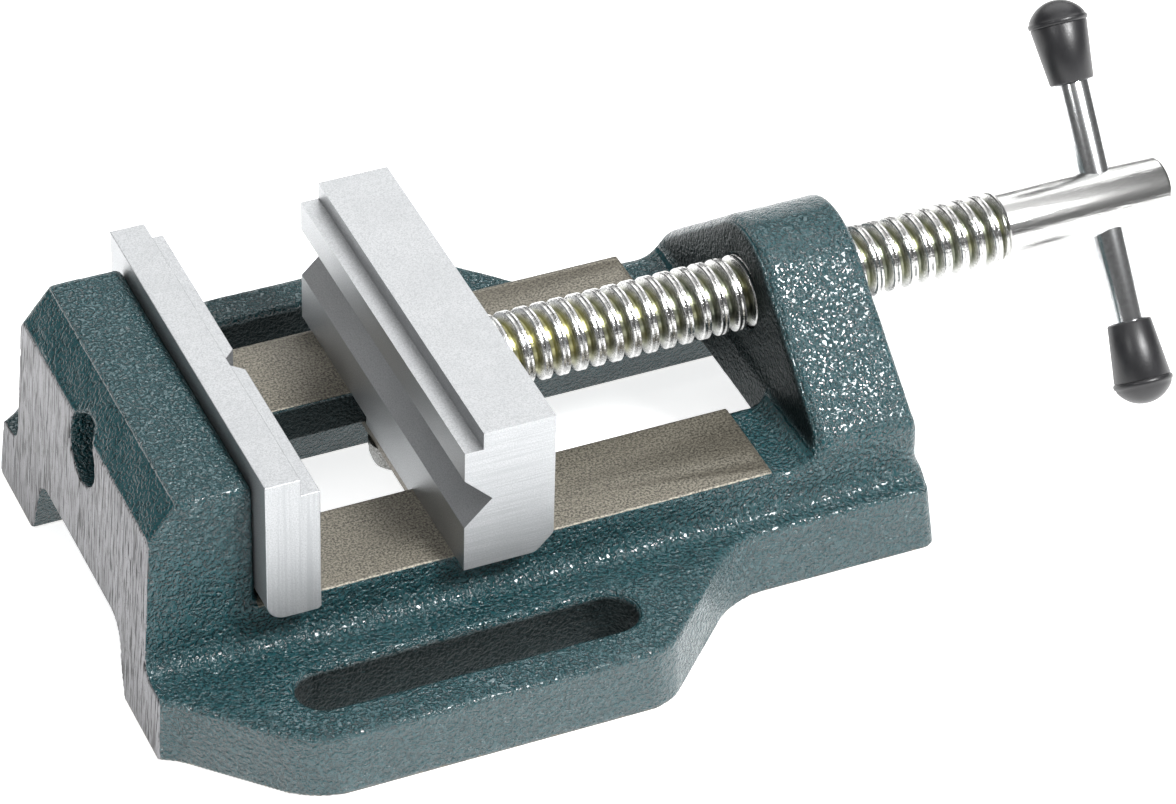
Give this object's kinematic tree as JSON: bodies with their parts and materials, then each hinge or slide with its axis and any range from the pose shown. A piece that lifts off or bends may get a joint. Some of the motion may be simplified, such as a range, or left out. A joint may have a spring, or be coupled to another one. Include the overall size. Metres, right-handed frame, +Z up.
{
  "type": "machine vise",
  "caption": "Low machine vise for a drill press table: cast base with slotted flanges, ledged and veed steel jaws, and a screw spindle turned by a sliding T-bar.",
  "frame": {"origin": "on the underside, midway between the two clamping slots", "axes": "+X along the spindle from the fixed jaw to the handle, +Z up"},
  "size_m": [0.2481, 0.1444, 0.0765],
  "materials": {
    "base_enamel": "dark petrol structured enamel on cast iron, slideways and end face left bare",
    "jaw_steel": "bright milled and ground steel",
    "raw_steel": "plain unplated steel",
    "zinc_bolt": "zinc plated",
    "black_screw": "black oxide",
    "spindle_zinc": "bright zinc plated with a faint yellow tint",
    "bar_chrome": "bright plated",
    "cap_rubber": "satin black soft plastic"
  },
  "bodies": {
    "base": {"base_casting": "base_enamel", "fixed_jaw": "jaw_steel", "fixed_jaw_screw_front": "black_screw", "fixed_jaw_screw_back": "black_screw"},
    "jaw": {"moving_jaw": "jaw_steel", "keeper_plate": "raw_steel", "keeper_bolt_front": "zinc_bolt", "keeper_bolt_back": "zinc_bolt", "lock_washer_front": "zinc_bolt", "lock_washer_back": "zinc_bolt", "retaining_pin_front": "raw_steel", "retaining_pin_back": "raw_steel", "thrust_washer": "raw_steel"},
    "screw": {"spindle": "spindle_zinc", "friction_ball": "raw_steel", "friction_spring": "raw_steel", "spindle_grub_screw": "black_screw"},
    "handle": {"tbar": "bar_chrome", "tbar_cap_upper": "cap_rubber", "tbar_cap_lower": "cap_rubber"}
  },
  "joints": [
    {"name": "jaw_slide", "type": "slide", "parent": "base", "child": "jaw", "axis": [1, 0, 0], "range_m": [-0.03045, 0.051]},
    {"name": "spindle_turn", "type": "hinge", "parent": "jaw", "child": "screw", "pos_m": [0.0231, 0, 0.0405], "axis": [1, 0, 0], "range_deg": [-2745, 4595]},
    {"name": "tbar_slide", "type": "slide", "parent": "screw", "child": "handle", "axis": [0, 0.632, 0.7749], "range_m": [-0.0191, 0.0191]}
  ],
  "couplings": [
    {"joint": "spindle_turn", "follows": "jaw_slide", "rad_per_m": 1570.8}
  ]
}
